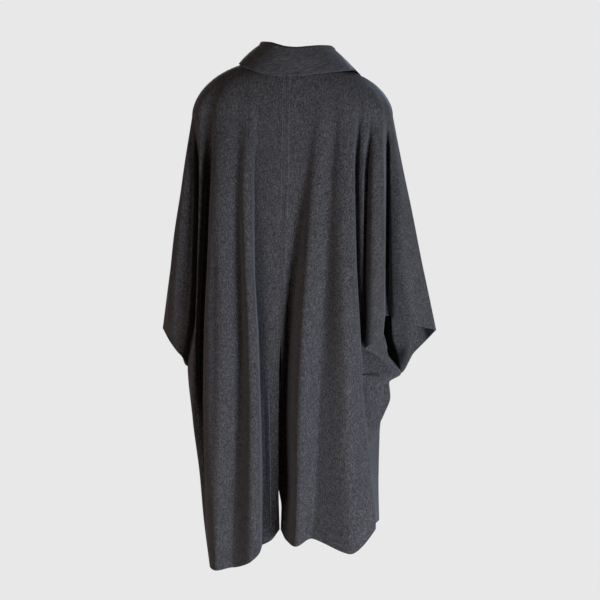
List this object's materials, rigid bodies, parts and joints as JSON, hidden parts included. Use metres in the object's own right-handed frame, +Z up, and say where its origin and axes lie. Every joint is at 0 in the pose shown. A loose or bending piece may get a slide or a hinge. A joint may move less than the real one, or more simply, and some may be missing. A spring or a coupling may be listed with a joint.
{
  "type": "coat",
  "caption": "Oversized wool cape coat with a turn-down collar, wide sleeves cut in one, a back vent and a buttoned front, filled out as if worn.",
  "frame": {"origin": "middle of the neck opening at the height of the shoulders", "axes": "+Z up, +Y the way the fronts face, +X towards the wearer's right"},
  "size_m": [0.6232, 0.2864, 1.1532],
  "materials": {
    "wool": "matte",
    "button_plastic": "satin"
  },
  "bodies": {
    "root": {"back_left": "wool", "back_right": "wool", "front_left": "wool", "front_right": "wool", "collar_stand": "wool", "collar_fall": "wool", "button_1": "button_plastic", "button_2": "button_plastic", "button_3": "button_plastic", "button_4": "button_plastic"}
  },
  "joints": []
}
